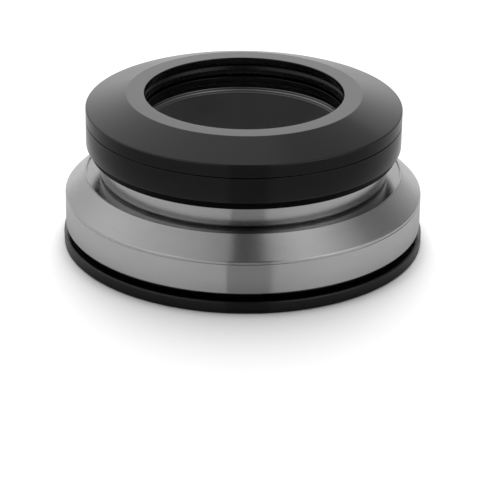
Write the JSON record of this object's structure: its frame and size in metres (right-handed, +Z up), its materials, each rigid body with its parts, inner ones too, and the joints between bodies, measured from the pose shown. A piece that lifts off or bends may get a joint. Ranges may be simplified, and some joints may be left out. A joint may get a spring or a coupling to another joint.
{
  "type": "bicycle headset",
  "caption": "Tapered drop-in bicycle headset, stacked: crown race, two sealed angular contact bearings, split compression ring and a two-part conical cover with seals.",
  "frame": {"origin": "on the steerer axis, on the underside of the crown race", "axes": "+Z up the steerer axis, from the crown race to the cover; +Y away from the compression ring's slot"},
  "size_m": [0.0526, 0.0526, 0.0225],
  "materials": {
    "black_aluminium": "black anodised, fine satin",
    "grey_aluminium": "dark grey anodised, bright turned chamfers",
    "bearing_steel": "ground, faint turned lines round the axis",
    "shield_steel": "pressed sheet, smooth",
    "ball_steel": "polished",
    "cage_nylon": "moulded",
    "black_rubber": "moulded, low sheen"
  },
  "bodies": {
    "base": {"crown_race": "black_aluminium", "crown_race_seal": "black_rubber", "lower_inner_race": "bearing_steel", "upper_outer_race": "bearing_steel", "upper_bottom_shield": "shield_steel", "upper_top_seal": "black_rubber"},
    "lower_outer": {"lower_outer_race": "bearing_steel", "lower_top_shield": "shield_steel", "lower_bottom_seal": "black_rubber"},
    "lower_rollers": {"lower_balls": "ball_steel", "lower_ball_cage": "cage_nylon"},
    "upper_turning": {"upper_inner_race": "bearing_steel", "compression_ring": "grey_aluminium", "cover_skirt": "black_aluminium", "cover_cap": "black_aluminium", "bore_o_ring": "black_rubber", "skirt_seal": "black_rubber"},
    "upper_rollers": {"upper_balls": "ball_steel", "upper_ball_cage": "cage_nylon"}
  },
  "joints": [
    {"name": "lower_outer_spin", "type": "hinge", "parent": "base", "child": "lower_outer", "pos_m": [0, 0, 0.00635], "axis": [0, 0, 1], "continuous": true},
    {"name": "lower_cage_spin", "type": "hinge", "parent": "base", "child": "lower_rollers", "pos_m": [0, 0, 0.00635], "axis": [0, 0, 1], "continuous": true},
    {"name": "cover_spin", "type": "hinge", "parent": "base", "child": "upper_turning", "pos_m": [0, 0, 0.01191], "axis": [0, 0, 1], "continuous": true},
    {"name": "upper_cage_spin", "type": "hinge", "parent": "base", "child": "upper_rollers", "pos_m": [0, 0, 0.01191], "axis": [0, 0, 1], "continuous": true}
  ],
  "couplings": [
    {"joint": "lower_cage_spin", "follows": "lower_outer_spin", "ratio": 0.5244},
    {"joint": "upper_cage_spin", "follows": "cover_spin", "ratio": 0.4688}
  ]
}
